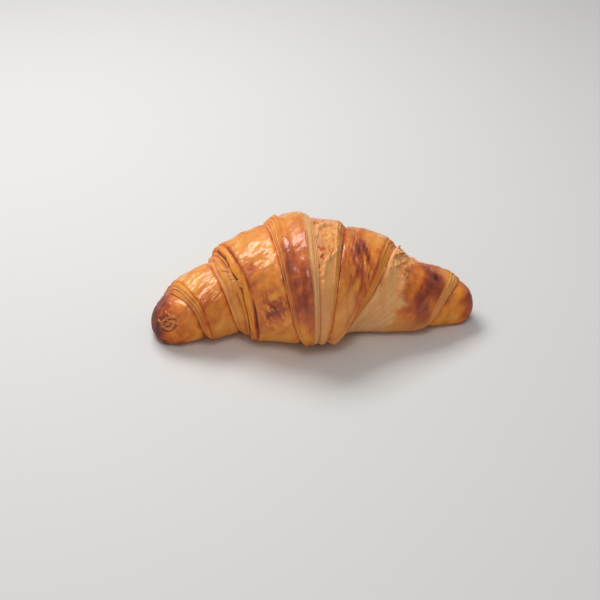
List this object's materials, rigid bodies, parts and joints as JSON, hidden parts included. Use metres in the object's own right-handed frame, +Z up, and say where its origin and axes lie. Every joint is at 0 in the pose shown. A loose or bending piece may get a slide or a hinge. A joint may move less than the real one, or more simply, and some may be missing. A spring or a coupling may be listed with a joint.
{
  "type": "croissant",
  "caption": "Baked butter croissant, nearly straight, with stepped spiral wraps of dough, a glossy brown crust and a flat base.",
  "frame": {"origin": "centre of the bounding box on the plane of the flat base", "axes": "+X along the croissant from tip to tip, +Y to the back, with the tongue ending at the front, +Z up"},
  "size_m": [0.169, 0.0772, 0.0584],
  "materials": {
    "baked_crust": null
  },
  "bodies": {
    "root": {"croissant": "baked_crust"}
  },
  "joints": []
}
